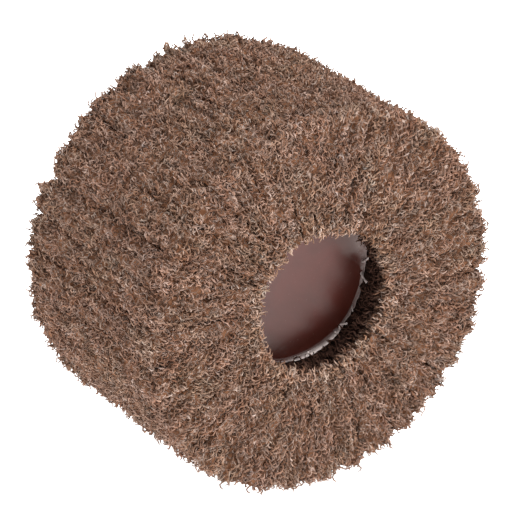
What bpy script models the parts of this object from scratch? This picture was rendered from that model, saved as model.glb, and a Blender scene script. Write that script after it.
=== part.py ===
"""Mounted non-woven abrasive flap wheel: web flaps bonded round a cast core that holds a steel shank.

Metres, +Z up. The wheel lies on its rim with its spin axis along Y. The origin is the wheel's centre, the
closed front faces -Y and the shank leaves the back towards +Y.
"""

import math

import bmesh
import bpy

# Driving dimensions
WHEEL_RADIUS = 0.0500
WHEEL_WIDTH = 0.0560
FLAP_COUNT = 32
ROOT_RADIUS = 0.0197  # flat inner end of each flap, measured to the middle of the flat
FRONT_RECESS = 0.0114  # from the front of the flaps down to the cast face
BACK_RECESS = 0.0090
SHANK_RADIUS = 0.0030
SHANK_LENGTH = 0.0400  # stands out past the back of the flaps
GAP = 0.0003  # clearance between pieces that touch

# Worked out from the driving dimensions
FRONT_Y = -WHEEL_WIDTH / 2
BACK_Y = WHEEL_WIDTH / 2
PITCH = 2 * math.pi / FLAP_COUNT
CORE_RADIUS = ROOT_RADIUS - GAP
CAST_FRONT_Y = FRONT_Y + FRONT_RECESS
CAST_BACK_Y = BACK_Y - BACK_RECESS

# Flaps
TIP_CORNER = 0.0022  # rounding of the two long edges at the rim
SIDE_CORNER = 0.0007  # rounding of the edges round the front and back of a flap
CORNER_STEPS = 3

# Cast ends
FRONT_CAST_THICKNESS = 0.0060
BACK_CAST_THICKNESS = 0.0050
BACK_LIP = 0.0010  # height and width of the resin's edge against the flap roots
MENISCUS_WIDTH = 0.0022  # the resin creeps up the flap roots by this much
MENISCUS_HEIGHT = 0.0024
MENISCUS_LIP = 0.0003
MENISCUS_STEPS = 5

# Core, between the two cast ends
BOND_THICKNESS = 0.0016
TUBE_THICKNESS = 0.0025
ROUND_STEPS = 64

# Spindle
KEY_RADIUS = 0.0050  # over the splines that the core is cast round
KEY_ROOT_RADIUS = 0.0043
KEY_LENGTH = 0.0160
HEAD_RADIUS = 0.0085
HEAD_THICKNESS = 0.0022
HEAD_CHAMFER = 0.0004
HEAD_COVER = 0.0030  # filling in front of the head
SHANK_CHAMFER = 0.0008
SPINDLE_STEPS = 40

# Back washer
WASHER_RADIUS = 0.0150
WASHER_THICKNESS = 0.0016
WASHER_CHAMFER = 0.0003

# Colours are linear RGB
WEB_BROWN = (0.205, 0.118, 0.086)
RESIN_MAROON = (0.048, 0.012, 0.009)
BOND_AMBER = (0.16, 0.055, 0.02)
TUBE_KRAFT = (0.30, 0.19, 0.11)
STEEL_GREY = (0.56, 0.56, 0.57)


def clear_scene():
    for obj in list(bpy.data.objects):
        bpy.data.objects.remove(obj)


def principled(name, colour, roughness, metallic=0.0):
    material = bpy.data.materials.new(name)
    material.use_nodes = True
    shader = material.node_tree.nodes["Principled BSDF"]
    shader.inputs["Base Color"].default_value = (*colour, 1)
    shader.inputs["Roughness"].default_value = roughness
    shader.inputs["Metallic"].default_value = metallic
    return material


def place(name, mesh, material, parent):
    obj = bpy.data.objects.new(name, mesh)
    bpy.context.scene.collection.objects.link(obj)
    obj.parent = parent
    if not mesh.materials:
        mesh.materials.append(material)
    return obj


def finished_mesh(name, shape):
    """Closes a bmesh into a mesh with outward faces, smooth where it is round."""
    bmesh.ops.remove_doubles(shape, verts=shape.verts, dist=1e-7)
    bmesh.ops.recalc_face_normals(shape, faces=shape.faces)
    mesh = bpy.data.meshes.new(name)
    shape.to_mesh(mesh)
    shape.free()
    mesh.shade_smooth()
    mesh.set_sharp_from_angle(angle=math.radians(35))
    return mesh


def turned(name, profile, steps=ROUND_STEPS):
    """A solid of revolution about Y from a closed outline of (radius, y) points.

    An outline that starts and ends on the axis makes a solid piece, any other a ring."""
    shape = bmesh.new()
    corners = [shape.verts.new((radius, y, 0)) for radius, y in profile]
    solid = profile[0][0] == 0 and profile[-1][0] == 0
    pairs = list(zip(corners, corners[1:]))
    if not solid:
        pairs.append((corners[-1], corners[0]))
    edges = [shape.edges.new(pair) for pair in pairs]
    bmesh.ops.spin(
        shape, geom=corners + edges, cent=(0, 0, 0), axis=(0, 1, 0),
        angle=2 * math.pi, steps=steps, use_merge=True,
    )
    return finished_mesh(name, shape)


def stacked_rings(name, rings):
    """A closed solid through rings of points about Y, each ring with the same number of points."""
    shape = bmesh.new()
    loops = []
    for y, radii in rings:
        turn = 2 * math.pi / len(radii)
        loops.append([
            shape.verts.new((radius * math.sin(turn * step), y, radius * math.cos(turn * step)))
            for step, radius in enumerate(radii)
        ])
    for lower, upper in zip(loops, loops[1:]):
        for step in range(len(lower)):
            after = (step + 1) % len(lower)
            shape.faces.new((lower[step], lower[after], upper[after], upper[step]))
    shape.faces.new(loops[0])
    shape.faces.new(loops[-1])
    return finished_mesh(name, shape)


def flap_outline():
    """Corners of one flap seen along the axis, pointing down -Z, as (x, z)."""
    slope = math.tan(PITCH / 2)
    side_gap = GAP / 2 / math.cos(PITCH / 2)
    root_half = ROOT_RADIUS * slope - side_gap
    tip_half = WHEEL_RADIUS * slope - side_gap
    return [
        (-root_half, -ROOT_RADIUS),
        (root_half, -ROOT_RADIUS),
        (tip_half, -WHEEL_RADIUS),
        (-tip_half, -WHEEL_RADIUS),
    ]


def edges_along_axis(shape, outermost):
    """The edges that run the width of the flap, at the rim or at the root."""
    found = []
    for edge in shape.edges:
        one, two = edge.verts
        along = abs(one.co.y - two.co.y) > WHEEL_WIDTH / 2
        at_rim = one.co.z < -(WHEEL_RADIUS + ROOT_RADIUS) / 2
        if along and at_rim == outermost:
            found.append(edge)
    return found


def flap_mesh():
    shape = bmesh.new()
    front = [shape.verts.new((x, FRONT_Y, z)) for x, z in flap_outline()]
    face = shape.faces.new(front)
    grown = bmesh.ops.extrude_face_region(shape, geom=[face])
    moved = [item for item in grown["geom"] if isinstance(item, bmesh.types.BMVert)]
    bmesh.ops.translate(shape, verts=moved, vec=(0, WHEEL_WIDTH, 0))
    bmesh.ops.recalc_face_normals(shape, faces=shape.faces)
    bmesh.ops.bevel(
        shape, geom=edges_along_axis(shape, outermost=True), offset=TIP_CORNER,
        segments=CORNER_STEPS, profile=0.5, affect="EDGES", clamp_overlap=True,
    )
    ends = [
        edge for edge in shape.edges
        if abs(edge.verts[0].co.y - edge.verts[1].co.y) < GAP
    ]
    bmesh.ops.bevel(
        shape, geom=ends, offset=SIDE_CORNER,
        segments=1, profile=0.5, affect="EDGES", clamp_overlap=True,
    )
    return finished_mesh("flap", shape)


def add_flaps(parent):
    web = principled("abrasive_web", WEB_BROWN, 0.95)
    mesh = flap_mesh()
    for number in range(FLAP_COUNT):
        flap = place(f"flap_{number + 1:02d}", mesh, web, parent)
        flap.rotation_euler.y = number * PITCH


def add_front_cast(parent):
    """The glossy cast face seen in the front recess, with the edge that crept up the flap roots."""
    inner = CORE_RADIUS - MENISCUS_LIP - MENISCUS_WIDTH
    creep = []
    for step in range(MENISCUS_STEPS + 1):
        angle = math.pi / 2 * step / MENISCUS_STEPS
        creep.append((
            inner + MENISCUS_WIDTH * math.sin(angle),
            CAST_FRONT_Y - MENISCUS_HEIGHT * (1 - math.cos(angle)),
        ))
    profile = [
        (0, CAST_FRONT_Y),
        *creep,
        (CORE_RADIUS, CAST_FRONT_Y - MENISCUS_HEIGHT),
        (CORE_RADIUS, CAST_FRONT_Y + FRONT_CAST_THICKNESS),
        (0, CAST_FRONT_Y + FRONT_CAST_THICKNESS),
    ]
    resin = principled("cast_resin", RESIN_MAROON, 0.08)
    place("front_cast_face", turned("front_cast_face", profile), resin, parent)
    return resin


def add_back_cast(parent, resin):
    """Cast ring round the shank, under the washer."""
    hole = SHANK_RADIUS + GAP
    front = CAST_BACK_Y - BACK_CAST_THICKNESS
    profile = [
        (hole, CAST_BACK_Y),
        (hole, front),
        (CORE_RADIUS, front),
        (CORE_RADIUS, CAST_BACK_Y + BACK_LIP),
        (CORE_RADIUS - BACK_LIP / 2, CAST_BACK_Y + BACK_LIP / 3),
        (CORE_RADIUS - BACK_LIP, CAST_BACK_Y),
    ]
    place("back_cast_ring", turned("back_cast_ring", profile), resin, parent)


def add_core(parent):
    """Bond line and fibre tube between the cast ends, one inside the other."""
    front = CAST_FRONT_Y + FRONT_CAST_THICKNESS + GAP
    back = CAST_BACK_Y - BACK_CAST_THICKNESS - GAP
    bond_inner = CORE_RADIUS - BOND_THICKNESS
    tube_outer = bond_inner - GAP
    tube_inner = tube_outer - TUBE_THICKNESS
    bond = principled("root_bond", BOND_AMBER, 0.4)
    tube = principled("fibre_tube", TUBE_KRAFT, 0.8)
    for name, inner, outer, material in (
        ("root_bond_sleeve", bond_inner, CORE_RADIUS, bond),
        ("core_tube", tube_inner, tube_outer, tube),
    ):
        profile = [(inner, front), (outer, front), (outer, back), (inner, back)]
        place(name, turned(name, profile), material, parent)
    return front, back, tube_inner - GAP


def spindle_stations(front):
    """Where the spindle changes section, front to back: head, splines, then the plain shank."""
    head_front = front + HEAD_COVER
    head_back = head_front + HEAD_THICKNESS
    key_back = head_back + KEY_LENGTH
    return head_front, head_back, key_back, BACK_Y + SHANK_LENGTH


def add_spindle(parent, front):
    head_front, head_back, key_back, tip = spindle_stations(front)

    def plain(radius):
        return [radius] * SPINDLE_STEPS

    splines = [KEY_RADIUS, KEY_ROOT_RADIUS] * (SPINDLE_STEPS // 2)
    rings = [
        (head_front, plain(HEAD_RADIUS - HEAD_CHAMFER)),
        (head_front + HEAD_CHAMFER, plain(HEAD_RADIUS)),
        (head_back - HEAD_CHAMFER, plain(HEAD_RADIUS)),
        (head_back, plain(HEAD_RADIUS - HEAD_CHAMFER)),
        (head_back + GAP, splines),
        (key_back - GAP, splines),
        (key_back, plain(SHANK_RADIUS)),
        (tip - SHANK_CHAMFER, plain(SHANK_RADIUS)),
        (tip, plain(SHANK_RADIUS - SHANK_CHAMFER)),
    ]
    steel = principled("bright_steel", STEEL_GREY, 0.3, 1.0)
    place("spindle", stacked_rings("spindle", rings), steel, parent)
    return steel


def add_filling(parent, resin, front, back, outer):
    """Cast filling inside the tube, shaped round the spindle's head and splines."""
    head_front, head_back, key_back, _ = spindle_stations(front)
    room_head = HEAD_RADIUS + GAP
    room_key = KEY_RADIUS + GAP
    room_shank = SHANK_RADIUS + GAP
    profile = [
        (0, front),
        (outer, front),
        (outer, back),
        (room_shank, back),
        (room_shank, key_back + GAP),
        (room_key, key_back + GAP),
        (room_key, head_back + GAP),
        (room_head, head_back + GAP),
        (room_head, head_front - GAP),
        (0, head_front - GAP),
    ]
    place("core_filling", turned("core_filling", profile), resin, parent)


def add_washer(parent, steel):
    hole = SHANK_RADIUS + GAP
    front = CAST_BACK_Y + GAP
    back = front + WASHER_THICKNESS
    profile = [
        (hole, front),
        (WASHER_RADIUS, front),
        (WASHER_RADIUS, back - WASHER_CHAMFER),
        (WASHER_RADIUS - WASHER_CHAMFER, back),
        (hole, back),
    ]
    place("back_washer", turned("back_washer", profile), steel, parent)


def build():
    clear_scene()
    wheel = bpy.data.objects.new("spin_axis", None)
    bpy.context.scene.collection.objects.link(wheel)
    add_flaps(wheel)
    resin = add_front_cast(wheel)
    add_back_cast(wheel, resin)
    front, back, filling_radius = add_core(wheel)
    steel = add_spindle(wheel, front)
    add_filling(wheel, resin, front, back, filling_radius)
    add_washer(wheel, steel)


build()
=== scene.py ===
"""Looks of the mounted non-woven abrasive flap wheel: curly web, glossy cast core, steel washer and shank.

The wheel lies on its rim, with its spin axis along Y, the closed front towards -Y and the shank towards +Y.
Sizes are in metres. Every flap is made pointing straight down, then turned about the spin axis to its place.
"""

import math
import random

import bmesh
import bpy
import numpy as np
from mathutils import Matrix, Vector, noise


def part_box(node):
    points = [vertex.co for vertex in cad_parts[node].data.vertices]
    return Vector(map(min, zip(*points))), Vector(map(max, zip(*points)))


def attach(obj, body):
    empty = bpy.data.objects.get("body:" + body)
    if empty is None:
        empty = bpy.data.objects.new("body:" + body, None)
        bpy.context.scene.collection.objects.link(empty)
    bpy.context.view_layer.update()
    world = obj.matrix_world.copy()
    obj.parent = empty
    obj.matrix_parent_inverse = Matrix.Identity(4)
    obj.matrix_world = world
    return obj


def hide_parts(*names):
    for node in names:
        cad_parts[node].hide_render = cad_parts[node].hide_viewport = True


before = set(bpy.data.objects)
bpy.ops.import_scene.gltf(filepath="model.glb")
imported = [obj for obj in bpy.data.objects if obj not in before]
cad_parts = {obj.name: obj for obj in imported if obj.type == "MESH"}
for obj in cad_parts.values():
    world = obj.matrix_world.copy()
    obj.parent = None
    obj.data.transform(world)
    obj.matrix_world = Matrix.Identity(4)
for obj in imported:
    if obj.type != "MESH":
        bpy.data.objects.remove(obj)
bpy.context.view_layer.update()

noise.seed_set(3)  # unseeded, noise_vector would differ from run to run

MM = 0.001

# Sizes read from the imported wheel
flap_names = sorted(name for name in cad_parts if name.startswith("flap_"))
flap_low, flap_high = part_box(flap_names[0])
front_cast_low, front_cast_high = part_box("front_cast_face")
BACK_CAST_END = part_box("back_cast_ring")[1].y
RIM_RADIUS = -flap_low.z
ROOT_RADIUS = -flap_high.z
FRONT_Y = flap_low.y
BACK_Y = flap_high.y
PITCH = 2 * math.pi / len(flap_names)

# Matted bodies of the flaps
RIM_SINK = 1.5 * MM  # a body stops this far inside the rim, and its fibres fill the rest
END_SINK = -0.25 * MM  # below zero, so a body stands out of the wheel's two faces
NOTCH_DEPTHS = (0.5 * MM, 1.8 * MM)  # where two flaps meet at the rim
WEB_CREASE = 1.1 * MM  # between the layers of web inside a flap
MOUTH_OVERHANG = 0.75 * MM  # the web closes in at the mouth of each recess
RECESS_SINK = 0.9 * MM  # and lies back behind the flap roots at the cast resin
BODY_STEPS = (12, 36, 20)  # across, along the axis, outwards
BODY_LUMPS = ((190, 0.7), (430, 0.8))  # cells of noise per metre, and the lumps' size in millimetres

# Fibres of the web
FIBRES_PER_MM2 = 1.2
TUFT_SCALE = 560.0  # cells of noise per metre
TUFT_GAP = 0.45  # no fibre grows where the tufts' noise is below this
TUFT_SHIFT = 3.0 * MM  # inwards, for each unit of the tufts' noise above a half
FIBRE_SHIFTS = (-0.5 * MM, 1.4 * MM)  # inwards, so that most fibres stand a little out of the body
SHIFT_POWER = 2.2  # and few lie deep in it
FIBRE_RADIUS = 0.215 * MM
FIBRE_SIDES = 3
FIBRE_END = 0.55  # share of the radius that is left at a fibre's ends
CURL_RADIUS = 0.63 * MM
CURL_LENGTH = 2.65 * MM
CURL_TURNS = 1.6
CURL_STEPS = 5  # per turn
CURL_SIZES = ((-1.0, 0.5, 0.6), (1.0, 1.2, 1.6))  # least and greatest scale; below zero mirrors it
CURL_WANDER = 1.0 * MM
WANDER_SCALE = 420.0  # cells of noise per metre
RIM_SWING = 2.2  # radians that a fibre may swing either way in the flap's plane, at the rim
END_SWING = 0.5  # and at the wheel's two faces
RIM_TWIST = 0.38  # radians that the fibres at the rim are turned about the radius
FIBRE_TILT = 0.25  # radians out of the flap's plane, either way

# Colour of the web
RECESS_SHADE_DEPTH = 4.5 * MM  # painted shade darkens the recess walls more and more over this depth
LIP_HIGHLIGHT_DEPTH = 1.5 * MM  # and the painted highlight on the lip at their mouth is this deep
RECESS_SKIN = (1.2 * MM, 2.8 * MM)  # outside the flap roots, where both fade out
# Layers of matted lines: cells of noise per metre, width of the lines, turn in radians, height, which also sets
# the painted shade of the lower layers
MAT_LINES = ((520.0, 0.05, 0.3, 1.0), (700.0, 0.05, 1.9, 0.75), (610.0, 0.06, 3.1, 0.5))

# Cast front
CAST_MENISCUS = 2.4 * MM  # from the foremost resin back to the level of the flat
CAST_RADIUS = ROOT_RADIUS + 0.5 * MM
CAST_DISH = 2.75 * MM
CAST_FILLET = 0.65 * MM  # width of the fillet against the web
CAST_CREEP = 0.6 * MM  # and its height
CAST_TURNS = 288
FLAT_RINGS = 12
FILLET_RINGS = 12
# Where more resin crept up: middle and spread in degrees clockwise from the top, width, height, froth (pale
# froth that is also a painted highlight)
CAST_CREEPS = (
    (62, 24, 5.5 * MM, 1.7 * MM, 0.0),
    (163, 25, 0.45 * MM, 0.75 * MM, 0.8),
    (-80, 50, 2.0 * MM, 1.2 * MM, 0.2),
)
# Threads of resin: degrees clockwise from the top, reach, lean in radians, thickness
CAST_THREADS = (
    (86, 2.8 * MM, -0.10, 0.50 * MM),
    (96, 2.6 * MM, 0.07, 0.55 * MM),
    (138, 1.8 * MM, -0.06, 0.50 * MM),
    (170, 1.5 * MM, 0.08, 0.45 * MM),
)
FINE_THREADS = 14
THREAD_STEPS = 10
THREAD_SIDES = 6

# Studio
FLOOR_SIZE = 6
FLOOR_DROP = 1.5 * MM  # below the rim, which leaves room for the fibres
FLOOR_GLOW = 1.2
STUDIO_GLOW = 1.35
SOFTBOX_PLACE = (0.35, -0.28, 1.12)
SOFTBOX_SIZE = 0.9
SOFTBOX_POWER = 15
CAMERA_AZIMUTH = math.radians(-33.8)
CAMERA_ELEVATION = math.radians(25.67)
CAMERA_LENS = 236.6
CAMERA_SENSOR = 36
CAMERA_LEFT = 16.3  # millimetres from the middle of the wheel's front face
CAMERA_UP = 11.35
CAMERA_BACK = 808.4


# ---------------------------------------------------------------- node helpers

def connect(tree, value, socket):
    """Links an output to the socket, or sets the socket to a plain value."""
    if isinstance(value, bpy.types.NodeSocket):
        tree.links.new(value, socket)
    else:
        socket.default_value = value


def add_node(tree, kind, settings=None, **values):
    """A node of this kind, with its properties from settings and its sockets from values, by name."""
    node = tree.nodes.new(kind)
    for key, value in (settings or {}).items():
        setattr(node, key, value)
    for key, value in values.items():
        name = key.replace("_", " ")
        connect(tree, value, next(s for s in node.inputs if s.name == name and s.enabled))
    return node


def out(node, name=None):
    return next(s for s in node.outputs if s.enabled and (name is None or s.name == name))


def maths(tree, operation, *values, clamp=False):
    """The result of a sum on outputs and numbers."""
    node = add_node(tree, "ShaderNodeMath", {"operation": operation, "use_clamp": clamp})
    for value, socket in zip(values, node.inputs):
        connect(tree, value, socket)
    return node.outputs[0]


def vector_maths(tree, operation, first, second):
    node = add_node(tree, "ShaderNodeVectorMath", {"operation": operation})
    connect(tree, first, node.inputs[0])
    connect(tree, second, node.inputs["Scale" if operation == "SCALE" else 1])
    return node.outputs[0]


def map_range(tree, value, from_low, from_high, to_low, to_high, settings=None):
    node = add_node(
        tree, "ShaderNodeMapRange", settings, Value=value,
        From_Min=from_low, From_Max=from_high, To_Min=to_low, To_Max=to_high)
    return out(node, "Result")


# ---------------------------------------------------------------- material helpers

def new_material(name):
    """A new material, its node tree and its shader."""
    material = bpy.data.materials.new(name)
    material.use_nodes = True
    tree = material.node_tree
    return material, tree, tree.nodes["Principled BSDF"]


def ramp(tree, factor, stops):
    """A colour ramp with (position, linear RGB) stops."""
    node = tree.nodes.new("ShaderNodeValToRGB")
    elements = node.color_ramp.elements
    while len(elements) < len(stops):
        elements.new(0.5)
    for element, (position, colour) in zip(elements, stops):
        element.position = position
        element.color = (*colour, 1)
    tree.links.new(factor, node.inputs["Fac"])
    return node.outputs["Color"]


def mix_colour(tree, factor, first, second, blend="MIX"):
    """Two colours mixed, each of them an output or linear RGB."""
    node = add_node(tree, "ShaderNodeMix", {"data_type": "RGBA", "blend_type": blend})
    for socket, value in zip((node.inputs[0], node.inputs[6], node.inputs[7]), (factor, first, second)):
        connect(tree, (*value, 1) if isinstance(value, tuple) else value, socket)
    return node.outputs[2]


def tinted(tree, colour, tint):
    return mix_colour(tree, 1.0, colour, tint, "MULTIPLY")


def object_point(tree, scale=(1, 1, 1), turn=(0, 0, 0)):
    place = tree.nodes.new("ShaderNodeTexCoord").outputs["Object"]
    return add_node(tree, "ShaderNodeMapping", Vector=place, Scale=scale, Rotation=turn).outputs["Vector"]


def smooth_noise(tree, scale, detail, roughness=0.5, distortion=0.0, place=None):
    """Noise on the piece from 0 to 1, with this many cells per metre."""
    node = add_node(
        tree, "ShaderNodeTexNoise", Vector=place or object_point(tree), Scale=scale, Detail=detail,
        Roughness=roughness, Distortion=distortion)
    return out(node, "Fac")


def attribute(tree, name):
    """The value that the mesh holds under this name."""
    return out(add_node(tree, "ShaderNodeAttribute", {"attribute_name": name}), "Fac")


def axis_place(tree):
    """Distance from the spin axis, and place along it."""
    place = add_node(tree, "ShaderNodeSeparateXYZ", Vector=object_point(tree))
    flat = add_node(tree, "ShaderNodeCombineXYZ", X=place.outputs["X"], Z=place.outputs["Z"])
    radius = add_node(tree, "ShaderNodeVectorMath", {"operation": "LENGTH"}, Vector=flat.outputs[0])
    return radius.outputs["Value"], place.outputs["Y"]


def add_bump(tree, shader, height, distance, strength=1.0):
    bump = add_node(tree, "ShaderNodeBump", Height=height, Distance=distance, Strength=strength)
    tree.links.new(bump.outputs["Normal"], shader.inputs["Normal"])


# ---------------------------------------------------------------- materials

def recess_shares(tree):
    """How much painted shade the web gets on the recess walls, and how much painted highlight on their lip."""
    radius, along = axis_place(tree)
    from_middle = maths(tree, "ABSOLUTE", along)
    fade_start, fade_end = RECESS_SKIN
    near_root = map_range(tree, radius, ROOT_RADIUS + fade_start, ROOT_RADIUS + fade_end, 1.0, 0.0)
    recess_shade = map_range(tree, from_middle, BACK_Y - RECESS_SHADE_DEPTH, BACK_Y, 1.0, 0.0)
    lip_highlight = map_range(tree, from_middle, BACK_Y - LIP_HIGHLIGHT_DEPTH, BACK_Y, 0.0, 1.0)
    return [maths(tree, "MULTIPLY", near_root, share) for share in (recess_shade, lip_highlight)]


def web_blotches(tree, colour):
    """The colour with soft lighter and darker spots, a millimetre or so wide, and broader worn patches."""
    spots = ramp(tree, smooth_noise(tree, 760.0, 1.0), [(0.33, (0.64, 0.59, 0.55)), (0.67, (1.31, 1.37, 1.42))])
    wear = ramp(tree, smooth_noise(tree, 210.0, 2.0), [(0.33, (0.74, 0.74, 0.74)), (0.67, (1.19, 1.19, 1.19))])
    return tinted(tree, tinted(tree, colour, spots), wear)


def fibre_material():
    """Resin-coated nylon with fine grit: its tone differs a little by fibre, and painted light and shade follow
    the tufts, the layers and the recesses.
    """
    material, tree, shader = new_material("web_fibre")
    # Painted light and shade: fibres are paler where the tufts' noise is high and darker towards the bare gaps
    # between tufts. TUFT_SHIFT sets the paler ones deeper, not higher.
    tuft_light_and_shade = map_range(tree, attribute(tree, "tuft"), TUFT_GAP, 0.66, 0.2, 0.65)
    shade = maths(tree, "MULTIPLY_ADD", attribute(tree, "shade"), 0.2, tuft_light_and_shade)
    colour = ramp(tree, shade, [
        (0.0, (0.160, 0.070, 0.040)),
        (0.35, (0.252, 0.156, 0.117)),
        (0.75, (0.342, 0.256, 0.217)),
        (1.0, (0.383, 0.338, 0.318)),
    ])
    patches = ramp(tree, smooth_noise(tree, 95.0, 2.0, roughness=0.6), [
        (0.30, (0.96, 1.01, 0.98)),
        (0.50, (1.00, 1.00, 1.00)),
        (0.70, (1.03, 0.99, 0.99)),
    ])
    colour = web_blotches(tree, tinted(tree, colour, patches))
    # Painted depth shade: fibres with a low layer value are darkened and warmed, and from 0.7 up they keep
    # their colour. The low values are the fibres that stand furthest out, not the deepest.
    painted_layer_shade = ramp(tree, attribute(tree, "layer"), [(0.0, (0.79, 0.64, 0.52)), (0.7, (1.0, 1.0, 1.0))])
    colour = tinted(tree, colour, painted_layer_shade)
    recess_shade, lip_highlight = recess_shares(tree)
    # Painted highlight: the web at the lip of each recess is made paler.
    colour = mix_colour(tree, lip_highlight, colour, tinted(tree, colour, (1.15, 1.17, 1.15)))
    # Painted shade: the web grows darker and darker deeper into each recess.
    colour = mix_colour(tree, recess_shade, colour, (0.070, 0.034, 0.024))
    tree.links.new(colour, shader.inputs["Base Color"])
    grit = smooth_noise(tree, 5200.0, 2.0)
    tree.links.new(map_range(tree, grit, 0.3, 0.7, 0.5, 0.85), shader.inputs["Roughness"])
    shader.inputs["Specular IOR Level"].default_value = 0.08
    add_bump(tree, shader, grit, 0.06 * MM, 0.6)
    return material


def curly_lines(tree, scale, width, turn):
    """Thin curly lines where a smooth noise crosses its middle value."""
    waves = smooth_noise(tree, scale, 0.0, place=object_point(tree, turn=(turn, 0.7 * turn, 0)))
    away = maths(tree, "ABSOLUTE", maths(tree, "SUBTRACT", waves, 0.5))
    return map_range(tree, away, 0.0, width, 1.0, 0.0, {"interpolation_type": "SMOOTHSTEP"})


def mat_material():
    """The matted depth of the web: dark brown, with curly fibres lying over one another, painted darker in the
    lower layers and deep in the recesses.
    """
    material, tree, shader = new_material("web_depth")
    layers = [
        maths(tree, "MULTIPLY", curly_lines(tree, scale, width, turn), height)
        for scale, width, turn, height in MAT_LINES
    ]
    matting = layers[0]
    for layer in layers[1:]:
        matting = maths(tree, "MAXIMUM", matting, layer)
    # Painted shade: the lower layers of lines are darker, and the space between the lines darkest.
    colour = ramp(tree, matting, [
        (0.0, (0.133, 0.060, 0.032)),
        (0.5, (0.232, 0.143, 0.106)),
        (1.0, (0.335, 0.240, 0.194)),
    ])
    # Painted shade: the mat grows darker and darker deeper into each recess.
    recess_shade, _ = recess_shares(tree)
    colour = mix_colour(tree, recess_shade, web_blotches(tree, colour), (0.024, 0.012, 0.009))
    tree.links.new(colour, shader.inputs["Base Color"])
    shader.inputs["Roughness"].default_value = 0.95
    shader.inputs["Specular IOR Level"].default_value = 0.05
    add_bump(tree, shader, matting, 0.4 * MM)
    return material


def cast_resin_material():
    """Glossy maroon casting resin: faint flow marks, fine dust, painted shade towards its edge, and pale froth,
    partly a painted highlight, where the mesh says so.
    """
    material, tree, shader = new_material("cast_resin")
    flow = smooth_noise(tree, 70.0, 3.0, roughness=0.55, distortion=1.5)
    colour = ramp(tree, flow, [
        (0.3, (0.066, 0.0095, 0.006)),
        (0.7, (0.088, 0.0135, 0.009)),
    ])
    # Painted shade: the resin is darker, and less red, towards its edge by the recess wall.
    radius, _ = axis_place(tree)
    edge_painted_shade = map_range(tree, radius, 0.62 * CAST_RADIUS, 0.85 * CAST_RADIUS, 0.0, 1.0)
    colour = mix_colour(tree, edge_painted_shade, colour, tinted(tree, colour, (0.60, 0.85, 0.85)))
    # Pale froth, partly a painted highlight: where the mesh marks it, the resin is pale and rougher.
    foam = map_range(tree, smooth_noise(tree, 900.0, 3.0), 0.3, 0.7, 0.8, 1.3)
    paleness = maths(tree, "MULTIPLY", attribute(tree, "froth_and_highlight"), foam, clamp=True)
    colour = mix_colour(tree, paleness, colour, (1.0, 0.88, 0.84))
    tree.links.new(colour, shader.inputs["Base Color"])
    dust = map_range(tree, smooth_noise(tree, 1500.0, 4.0, roughness=0.7), 0.45, 0.75, 0.2, 0.3)
    tree.links.new(maths(tree, "MULTIPLY_ADD", paleness, 0.5, dust, clamp=True), shader.inputs["Roughness"])
    shader.inputs["IOR"].default_value = 1.43
    shader.inputs["Specular Tint"].default_value = (1.0, 0.95, 0.90, 1.0)
    add_bump(tree, shader, flow, 0.12 * MM, 0.5)
    return material


def adhesive_material():
    """Amber adhesive with flow marks."""
    material, tree, shader = new_material("root_adhesive")
    flow = smooth_noise(tree, 160.0, 3.0)
    colour = ramp(tree, flow, [(0.3, (0.10, 0.032, 0.012)), (0.7, (0.20, 0.075, 0.03))])
    tree.links.new(colour, shader.inputs["Base Color"])
    shader.inputs["Roughness"].default_value = 0.35
    add_bump(tree, shader, flow, 0.3 * MM)
    return material


def fibre_tube_material():
    """Wound paper tube, with the edges of its plies at a slant to the axis."""
    material, tree, shader = new_material("wound_tube")
    wave = add_node(
        tree, "ShaderNodeTexWave", {"wave_type": "BANDS", "bands_direction": "Y"},
        Vector=object_point(tree, turn=(0.35, 0, 0)), Scale=55.0, Distortion=0.6, Detail=2.0)
    plies = out(wave, "Fac")
    colour = ramp(tree, plies, [
        (0.0, (0.20, 0.12, 0.065)),
        (0.12, (0.30, 0.19, 0.11)),
        (1.0, (0.36, 0.24, 0.14)),
    ])
    tree.links.new(colour, shader.inputs["Base Color"])
    shader.inputs["Roughness"].default_value = 0.8
    add_bump(tree, shader, plies, 0.1 * MM)
    return material


def steel_material():
    """Bright steel with fine turning marks round the axis and a little oil staining."""
    material, tree, shader = new_material("bright_steel")
    shader.inputs["Metallic"].default_value = 1.0
    stain = smooth_noise(tree, 140.0, 4.0, roughness=0.6)
    colour = ramp(tree, stain, [(0.3, (0.26, 0.256, 0.25)), (0.65, (0.38, 0.38, 0.385))])
    tree.links.new(colour, shader.inputs["Base Color"])
    turning = smooth_noise(tree, 1.0, 3.0, roughness=0.7, place=object_point(tree, scale=(300, 9000, 300)))
    tree.links.new(map_range(tree, turning, 0.3, 0.7, 0.22, 0.4), shader.inputs["Roughness"])
    add_bump(tree, shader, turning, 0.02 * MM, 0.5)
    return material


def floor_material():
    """Pale matt floor that glows a little, so that it stays as pale as the studio round it."""
    material, tree, shader = new_material("pale_floor")
    grain = smooth_noise(tree, 40.0, 3.0)
    colour = ramp(tree, grain, [(0.3, (0.90, 0.90, 0.90)), (0.7, (0.93, 0.93, 0.93))])
    tree.links.new(colour, shader.inputs["Base Color"])
    shader.inputs["Roughness"].default_value = 0.9
    shader.inputs["Emission Color"].default_value = (1, 1, 1, 1)
    shader.inputs["Emission Strength"].default_value = FLOOR_GLOW
    return material


# ---------------------------------------------------------------- matted bodies

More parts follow.
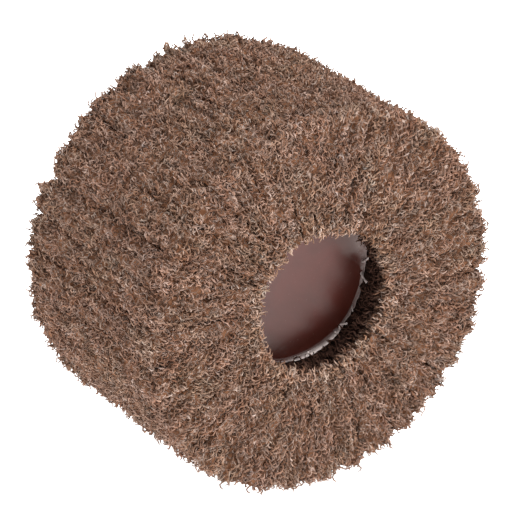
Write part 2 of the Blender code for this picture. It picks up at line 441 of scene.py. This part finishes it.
def lattice_shell(steps):
    """Points and quads on the outside of a box lattice: each point is three steps from -1 to 1."""
    keys = {}
    quads = []

    def point(key):
        return keys.setdefault(key, len(keys))

    for axis in range(3):
        one, two = (axis + 1) % 3, (axis + 2) % 3
        for side in (0, steps[axis]):
            for i in range(steps[one]):
                for j in range(steps[two]):
                    corners = []
                    for di, dj in ((0, 0), (1, 0), (1, 1), (0, 1)):
                        key = [0, 0, 0]
                        key[axis], key[one], key[two] = side, i + di, j + dj
                        corners.append(point(tuple(key)))
                    quads.append(corners if side else corners[::-1])
    places = np.array(list(keys), float) / steps * 2 - 1
    return places, quads


def smooth_above(value, start):
    """0 below start, then rising smoothly to 1 at 1."""
    t = max(0.0, (value - start) / (1 - start))
    return t * t * (3 - 2 * t)


def web_point(across, along, outwards, notches, shift):
    """Where a point of a flap's matted body lies, for a flap that points down."""
    rise = (outwards + 1) / 2
    notch = notches[0 if across < 0 else 1] * smooth_above(abs(across), 0.5)
    notch *= max(0.0, 0.75 + 1.1 * noise.noise(Vector((along * 2.2, 0.0, 0.0)) + shift))
    layers = Vector((across * 3.2, along * 1.1, rise * 1.1)) + shift
    crease = WEB_CREASE * noise.noise(layers)
    length = (BACK_Y - FRONT_Y) / 2 - END_SINK
    y = (FRONT_Y + BACK_Y) / 2 + (length - 0.5 * notch - crease) * along
    into_recess = min(1.0, (1 - abs(along)) * length / (front_cast_low.y - FRONT_Y))
    root = ROOT_RADIUS - MOUTH_OVERHANG + (RECESS_SINK + MOUTH_OVERHANG) * into_recess ** 0.6
    rim = RIM_RADIUS - RIM_SINK - notch - crease
    radius = root + (rim - root) * rise
    half = PITCH / 2
    plain = Vector((radius * math.sin(half * across), y, -radius * math.cos(half * across)))
    lumpy = plain
    for cells, size in BODY_LUMPS:
        lumpy = lumpy + noise.noise_vector(plain * cells + shift) * size * MM
    return lumpy


def web_body(name, seed, notches):
    """A flap's matted body, with how thickly fibres grow on each face in its nap attribute."""
    places, quads = lattice_shell(BODY_STEPS)
    shift = Vector((seed * 3.7, seed * 1.9, seed * 5.3))
    points = [web_point(*place, notches, shift) for place in places]
    mesh = bpy.data.meshes.new(name)
    mesh.from_pydata([tuple(p) for p in points], [], quads)
    recess_front = front_cast_low.y + CAST_MENISCUS * 0.3
    nap = []
    for quad in quads:
        across, along, outwards = places[quad].mean(axis=0)
        y = sum(points[i].y for i in quad) / 4
        is_side = np.ptp(places[quad][:, 0]) == 0
        is_root = np.ptp(places[quad][:, 2]) == 0 and outwards < 0
        if is_side:
            nap.append(0.4 * smooth_above(outwards, 0.8))
        elif is_root:
            nap.append(1.1 if y < recess_front or y > BACK_CAST_END else 0.0)
        else:
            nap.append(1.3 if min(abs(along), abs(outwards)) > 0.9 else 1.0)
    mesh.attributes.new("nap", "FLOAT", "FACE").data.foreach_set("value", nap)
    return mesh


# ---------------------------------------------------------------- fibres

def group_input(tree, name, kind, default=None):
    socket = tree.interface.new_socket(name, in_out="INPUT", socket_type=kind)
    if default is not None:
        socket.default_value = default


def random_value(tree, kind, low, high, seed, offset):
    """A random number or vector for each element; offset keeps draws that share a seed apart."""
    node = add_node(tree, "FunctionNodeRandomValue", {"data_type": kind})
    low_socket, high_socket = [s for s in node.inputs if s.enabled and s.name in ("Min", "Max")]
    connect(tree, low, low_socket)
    connect(tree, high, high_socket)
    tree.links.new(maths(tree, "ADD", seed, offset), node.inputs["Seed"])
    return out(node)


def store(tree, geometry, name, value, kind="FLOAT"):
    """The points with this value kept on them, for the fibres that grow there."""
    node = add_node(
        tree, "GeometryNodeStoreNamedAttribute", {"data_type": kind, "domain": "POINT"},
        Geometry=geometry, Name=name, Value=value)
    return node.outputs["Geometry"]


def stored(tree, name, kind="FLOAT"):
    node = add_node(tree, "GeometryNodeInputNamedAttribute", {"data_type": kind}, Name=name)
    return out(node, "Attribute")


def position(tree):
    return tree.nodes.new("GeometryNodeInputPosition").outputs[0]


def moved(tree, geometry, offset):
    return add_node(tree, "GeometryNodeSetPosition", Geometry=geometry, Offset=offset).outputs["Geometry"]


def painted(tree, geometry, material):
    node = add_node(tree, "GeometryNodeSetMaterial", Geometry=geometry, Material=material)
    return node.outputs["Geometry"]


def fibre_roots(tree, given):
    """Points on a body where fibres grow: in tufts, and with none in the gaps between them."""
    density = maths(tree, "MULTIPLY", stored(tree, "nap"), given["Fibres per m2"])
    spread = add_node(
        tree, "GeometryNodeDistributePointsOnFaces", Mesh=given["Body"], Density=density, Seed=given["Seed"])
    tufts = add_node(
        tree, "ShaderNodeTexNoise", {"noise_dimensions": "4D"},
        Vector=position(tree), W=maths(tree, "MULTIPLY", given["Seed"], 0.37), Scale=TUFT_SCALE, Detail=1.0)
    tuft = out(tufts, "Fac")
    marked = store(tree, spread.outputs["Points"], "tuft", tuft)
    marked = store(tree, marked, "normal", spread.outputs["Normal"], "FLOAT_VECTOR")
    bare = add_node(
        tree, "FunctionNodeCompare", {"data_type": "FLOAT", "operation": "LESS_THAN"}, A=tuft, B=TUFT_GAP)
    thinned = add_node(
        tree, "GeometryNodeDeleteGeometry", {"domain": "POINT"}, Geometry=marked, Selection=bare.outputs[0])
    layer = random_value(tree, "FLOAT", 0.0, 1.0, given["Seed"], 11)
    roots = store(tree, thinned.outputs["Geometry"], "layer", layer)
    roots = store(tree, roots, "shade", random_value(tree, "FLOAT", 0.0, 1.0, given["Seed"], 23))
    roots = store(tree, roots, "strand", random_value(tree, "FLOAT", 0.0, 1000.0, given["Seed"], 37))
    by_layer = map_range(tree, maths(tree, "POWER", layer, SHIFT_POWER), 0.0, 1.0, *FIBRE_SHIFTS)
    by_tuft = map_range(tree, stored(tree, "tuft"), 0.5, 1.5, 0.0, TUFT_SHIFT, {"clamp": False})
    shift = maths(tree, "ADD", by_layer, by_tuft)
    return moved(tree, roots, vector_maths(tree, "SCALE", stored(tree, "normal", "FLOAT_VECTOR"), shift))


def one_curl(tree, given):
    """A spiral of wire along Z, centred on the origin."""
    curl = add_node(
        tree, "GeometryNodeCurveSpiral", Resolution=CURL_STEPS, Rotations=CURL_TURNS,
        Start_Radius=given["Curl radius"], End_Radius=given["Curl radius"], Height=given["Curl length"])
    back = add_node(tree, "ShaderNodeCombineXYZ", Z=maths(tree, "MULTIPLY", given["Curl length"], -0.5))
    centred = add_node(
        tree, "GeometryNodeTransform", Geometry=curl.outputs["Curve"], Translation=back.outputs[0])
    return centred.outputs["Geometry"]


def fibre_turn(tree, seed):
    """How a fibre is turned: swung in the flap's plane, and laid along the axis at the rim."""
    normal = add_node(tree, "ShaderNodeSeparateXYZ", Vector=stored(tree, "normal", "FLOAT_VECTOR"))
    end_on = maths(tree, "ABSOLUTE", normal.outputs["Y"])

    def at_rim_or_face(rim, face):
        return map_range(tree, end_on, 0.5, 0.6, rim, face)

    swing = maths(
        tree, "MULTIPLY_ADD", random_value(tree, "FLOAT", -1.0, 1.0, seed, 43),
        at_rim_or_face(RIM_SWING, END_SWING), at_rim_or_face(math.pi / 2, 0.0))
    plain = add_node(tree, "ShaderNodeCombineXYZ", X=swing, Z=at_rim_or_face(RIM_TWIST, 0.0))
    tilt = random_value(
        tree, "FLOAT_VECTOR", (0, -FIBRE_TILT, -FIBRE_TILT), (0, FIBRE_TILT, FIBRE_TILT), seed, 41)
    turn = vector_maths(tree, "ADD", plain.outputs[0], tilt)
    return add_node(tree, "FunctionNodeEulerToRotation", Euler=turn).outputs[0]


def curled_strands(tree, given, roots):
    """A curl on every root, each bent its own way."""
    placed = add_node(
        tree, "GeometryNodeInstanceOnPoints", Points=roots, Instance=one_curl(tree, given),
        Rotation=fibre_turn(tree, given["Seed"]),
        Scale=random_value(tree, "FLOAT_VECTOR", *CURL_SIZES, given["Seed"], 53))
    strands = add_node(tree, "GeometryNodeRealizeInstances", Geometry=placed.outputs["Instances"])
    waves = add_node(
        tree, "ShaderNodeTexNoise", {"noise_dimensions": "4D"},
        Vector=position(tree), W=stored(tree, "strand"), Scale=WANDER_SCALE, Detail=1.0)
    centred = vector_maths(tree, "SUBTRACT", waves.outputs["Color"], (0.5, 0.5, 0.5))
    return moved(tree, strands.outputs["Geometry"], vector_maths(tree, "SCALE", centred, given["Wander"]))


def fibre_tubes(tree, given, strands):
    """The strands as closed tubes, thinner at both ends."""
    section = add_node(
        tree, "GeometryNodeCurvePrimitiveCircle", Resolution=FIBRE_SIDES, Radius=given["Fibre radius"])
    along = tree.nodes.new("GeometryNodeSplineParameter").outputs["Factor"]
    taper = map_range(tree, maths(tree, "PINGPONG", along, 0.5), 0.0, 0.2, FIBRE_END, 1.0)
    tubes = add_node(
        tree, "GeometryNodeCurveToMesh", Curve=strands, Profile_Curve=section.outputs["Curve"],
        Fill_Caps=True, Scale=taper)
    rounded = add_node(tree, "GeometryNodeSetShadeSmooth", Geometry=tubes.outputs["Mesh"])
    return rounded.outputs["Geometry"]


def curly_web_tree():
    """Geometry Nodes: covers a matted body with curled fibres that lie mostly in the flap's own plane."""
    tree = bpy.data.node_groups.new("curly_web", "GeometryNodeTree")
    group_input(tree, "Body", "NodeSocketGeometry")
    group_input(tree, "Fibres per m2", "NodeSocketFloat", FIBRES_PER_MM2 / MM**2)
    group_input(tree, "Fibre radius", "NodeSocketFloat", FIBRE_RADIUS)
    group_input(tree, "Curl radius", "NodeSocketFloat", CURL_RADIUS)
    group_input(tree, "Curl length", "NodeSocketFloat", CURL_LENGTH)
    group_input(tree, "Wander", "NodeSocketFloat", CURL_WANDER)
    group_input(tree, "Seed", "NodeSocketInt", 0)
    group_input(tree, "Fibre material", "NodeSocketMaterial")
    group_input(tree, "Body material", "NodeSocketMaterial")
    tree.interface.new_socket("Web", in_out="OUTPUT", socket_type="NodeSocketGeometry")
    given = tree.nodes.new("NodeGroupInput").outputs
    strands = curled_strands(tree, given, fibre_roots(tree, given))
    fibres = painted(tree, fibre_tubes(tree, given, strands), given["Fibre material"])
    # Pointing down mirrors the lattice, so a body's faces look inwards until here. The fibres have grown by
    # now, along the unflipped normals, which is why their shifts run inwards.
    outward = add_node(tree, "GeometryNodeFlipFaces", Mesh=given["Body"])
    body = painted(tree, outward.outputs["Mesh"], given["Body material"])
    joined = tree.nodes.new("GeometryNodeJoinGeometry")
    tree.links.new(fibres, joined.inputs["Geometry"])
    tree.links.new(body, joined.inputs["Geometry"])
    real = add_node(tree, "GeometryNodeRealizeInstances", Geometry=joined.outputs["Geometry"])
    add_node(tree, "NodeGroupOutput", Web=real.outputs["Geometry"])
    return tree


# ---------------------------------------------------------------- web flaps

def set_input(modifier, tree, name, value):
    socket = next(
        item for item in tree.interface.items_tree if item.name == name and item.in_out == "INPUT")
    modifier[socket.identifier] = value


def grown_mesh(name, body, tree, seed, materials):
    """The plain mesh that the tree makes of a matted body."""
    host = bpy.data.objects.new(name + "_host", body)
    bpy.context.scene.collection.objects.link(host)
    modifier = host.modifiers.new("grow", "NODES")
    modifier.node_group = tree
    set_input(modifier, tree, "Seed", seed)
    set_input(modifier, tree, "Fibre material", materials["fibre"])
    set_input(modifier, tree, "Body material", materials["mat"])
    depsgraph = bpy.context.evaluated_depsgraph_get()
    mesh = bpy.data.meshes.new_from_object(host.evaluated_get(depsgraph), depsgraph=depsgraph)
    mesh.name = name
    bpy.data.objects.remove(host)
    bpy.data.meshes.remove(body)
    return mesh


def add_piece(name, mesh, slot, *replaced):
    piece = bpy.data.objects.new(name, mesh)
    bpy.context.scene.collection.objects.link(piece)
    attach(piece, "root")
    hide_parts(*replaced)


def add_web_flaps():
    """One piece of web for each flap, made pointing down and turned to its place."""
    materials = {"fibre": fibre_material(), "mat": mat_material()}
    tree = curly_web_tree()
    draw = random.Random(5)
    notches = [draw.uniform(*NOTCH_DEPTHS) for _ in flap_names]
    for number, node in enumerate(flap_names):
        body = web_body(node + "_body", number + 1, (notches[number], notches[number - 1]))
        mesh = grown_mesh(node + "_web", body, tree, 100 * number + 7, materials)
        mesh.transform(Matrix.Rotation(number * PITCH, 4, "Y"))
        add_piece(node + "_web", mesh, "abrasive_web", node)


# ---------------------------------------------------------------- cast front

def cast_edge(angle):
    """The resin's fillet at this angle round the axis: width, height, froth (partly a painted highlight) and
    ripple of its edge.
    """
    edge = Vector((math.cos(angle), math.sin(angle), 0.0))
    swell, ripple = noise.noise(edge * 3.1), noise.noise(edge * 14.0)
    width, height, froth_and_highlight = CAST_FILLET * (1 + 0.5 * swell), CAST_CREEP * (1 + 0.6 * swell), 0.2
    for middle, spread, more_width, more_height, more_froth_and_highlight in CAST_CREEPS:
        away = math.remainder(angle - math.radians(middle), 2 * math.pi) / math.radians(spread)
        share = math.exp(-away ** 4)
        width += more_width * share
        height += more_height * share
        froth_and_highlight += more_froth_and_highlight * share
    return width, height, froth_and_highlight, 0.7 * CAST_CREEP * ripple


def add_cast_skin(shape, froth_and_highlight_layer):
    """A closed skin: dished rings, the fillet's rings, and a flat back inside the web."""
    flat_y = front_cast_low.y + CAST_MENISCUS
    loops = [[] for _ in range(FLAT_RINGS + FILLET_RINGS)]
    for turn in range(CAST_TURNS):
        angle = 2 * math.pi * turn / CAST_TURNS
        width, height, froth_and_highlight, ripple = cast_edge(angle)
        for ring, loop in enumerate(loops, 1):
            share = max(0, ring - FLAT_RINGS) / FILLET_RINGS
            if share:
                radius = CAST_RADIUS - width + width * math.sin(share * math.pi / 2)
            else:
                radius = (CAST_RADIUS - width) * ring / FLAT_RINGS
            rise = height * (1 - math.cos(share * math.pi / 2)) + ripple * share ** 6
            sag = CAST_DISH * (1 - (radius / CAST_RADIUS) ** 2)
            place = (radius * math.sin(angle), flat_y + sag - rise, radius * math.cos(angle))
            point = shape.verts.new(place)
            point[froth_and_highlight_layer] = froth_and_highlight * smooth_above(share, 0.35)
            loop.append(point)
    loops.append([shape.verts.new((v.co.x * 0.96, front_cast_high.y, v.co.z * 0.96)) for v in loops[-1]])
    centre = shape.verts.new((0, flat_y + CAST_DISH, 0))
    for turn in range(CAST_TURNS):
        after = (turn + 1) % CAST_TURNS
        shape.faces.new((centre, loops[0][turn], loops[0][after]))
        for inner, outer in zip(loops, loops[1:]):
            shape.faces.new((inner[turn], outer[turn], outer[after], inner[after]))
    shape.faces.new(loops[-1])


def add_cast_thread(shape, froth_and_highlight_layer, angle, reach, lean, thickness):
    """A tapered thread of resin that climbs from the cast edge up the web."""
    _, height, froth_and_highlight, _ = cast_edge(angle)
    start_y = front_cast_low.y + CAST_MENISCUS - 0.4 * height
    loops = []
    for step in range(THREAD_STEPS + 1):
        share = step / THREAD_STEPS
        turned = angle + lean * share ** 1.5
        radius = CAST_RADIUS - 0.5 * MM - 0.5 * MM * math.sin(share * 2.6)
        middle = Vector((radius * math.sin(turned), start_y - reach * share, radius * math.cos(turned)))
        outwards = Vector((math.sin(turned), 0, math.cos(turned)))
        sideways = Vector((math.cos(turned), 0, -math.sin(turned)))
        bead = thickness * 0.5 * math.exp(-((share - 0.97) / 0.12) ** 2)
        size = thickness * (1.0 - 0.85 * share) + bead
        loop = []
        for side in range(THREAD_SIDES):
            around = 2 * math.pi * side / THREAD_SIDES
            away = math.cos(around) * outwards + math.sin(around) * sideways
            point = shape.verts.new(middle + size * away)
            # The threads are pale, partly as froth and partly as a painted highlight.
            point[froth_and_highlight_layer] = 0.6 * froth_and_highlight + 0.25
            loop.append(point)
        loops.append(loop)
    for lower, upper in zip(loops, loops[1:]):
        for side in range(THREAD_SIDES):
            after = (side + 1) % THREAD_SIDES
            shape.faces.new((lower[side], lower[after], upper[after], upper[side]))
    shape.faces.new(loops[0])
    shape.faces.new(loops[-1])


def add_cast_front(material):
    """The cast face: dished and glossy, with an uneven edge and threads that crept up the web, both pale as
    froth and as a painted highlight.
    """
    shape = bmesh.new()
    froth_and_highlight_layer = shape.verts.layers.float.new("froth_and_highlight")
    add_cast_skin(shape, froth_and_highlight_layer)
    draw = random.Random(12)
    for middle, reach, lean, thickness in CAST_THREADS:
        add_cast_thread(shape, froth_and_highlight_layer, math.radians(middle), reach, lean, thickness)
    for _ in range(FINE_THREADS):
        add_cast_thread(
            shape, froth_and_highlight_layer, draw.uniform(0, 2 * math.pi), draw.uniform(0.9, 2.0) * MM,
            draw.uniform(-0.08, 0.08), draw.uniform(0.25, 0.4) * MM)
    bmesh.ops.recalc_face_normals(shape, faces=shape.faces)
    mesh = bpy.data.meshes.new("front_cast_skin")
    shape.to_mesh(mesh)
    shape.free()
    mesh.shade_smooth()
    mesh.set_sharp_from_angle(angle=math.radians(60))
    mesh.materials.append(material)
    add_piece("front_cast_skin", mesh, "cast_resin", "front_cast_face")


# ---------------------------------------------------------------- carried-over pieces

def paint(node, material):
    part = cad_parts[node]
    part.data.materials.clear()
    part.data.materials.append(material)


# ---------------------------------------------------------------- studio

def add_floor():
    bpy.ops.mesh.primitive_plane_add(size=FLOOR_SIZE, location=(0, 0, -RIM_RADIUS - FLOOR_DROP))
    floor = bpy.context.object
    floor.name = "floor"
    floor.data.materials.append(floor_material())


def add_softbox():
    """A round soft light, aimed at the wheel's centre."""
    data = bpy.data.lights.new("softbox", "AREA")
    data.shape = "DISK"
    data.size = SOFTBOX_SIZE
    data.energy = SOFTBOX_POWER
    lamp = bpy.data.objects.new("softbox", data)
    bpy.context.scene.collection.objects.link(lamp)
    lamp.location = SOFTBOX_PLACE
    lamp.rotation_euler = (-Vector(SOFTBOX_PLACE)).to_track_quat("-Z", "Y").to_euler()


def add_world():
    world = bpy.data.worlds.new("studio")
    bpy.context.scene.world = world
    world.use_nodes = True
    background = world.node_tree.nodes["Background"]
    background.inputs["Color"].default_value = (1, 1, 1, 1)
    background.inputs["Strength"].default_value = STUDIO_GLOW


def add_camera():
    """Above the wheel and to one side of its front face, far off with a long lens."""
    level = math.cos(CAMERA_ELEVATION)
    back = Vector((
        math.sin(CAMERA_AZIMUTH) * level, -math.cos(CAMERA_AZIMUTH) * level, math.sin(CAMERA_ELEVATION)))
    turn = (-back).to_track_quat("-Z", "Y")
    right, up = turn @ Vector((1, 0, 0)), turn @ Vector((0, 1, 0))
    data = bpy.data.cameras.new("camera")
    data.lens = CAMERA_LENS
    data.sensor_width = CAMERA_SENSOR
    data.clip_start = 0.01
    data.clip_end = 50
    camera = bpy.data.objects.new("camera", data)
    bpy.context.scene.collection.objects.link(camera)
    front_centre = Vector((0, FRONT_Y, 0))
    camera.location = front_centre - right * CAMERA_LEFT * MM + up * CAMERA_UP * MM + back * CAMERA_BACK * MM
    camera.rotation_euler = turn.to_euler()
    bpy.context.scene.camera = camera


add_camera()
add_floor()
add_world()
add_softbox()
add_web_flaps()
cast_resin = cast_resin_material()
add_cast_front(cast_resin)
steel = steel_material()
paint("back_cast_ring", cast_resin)
paint("core_filling", cast_resin)
paint("root_bond_sleeve", adhesive_material())
paint("core_tube", fibre_tube_material())
paint("spindle", steel)
paint("back_washer", steel)
bpy.context.scene.view_settings.view_transform = "Standard"
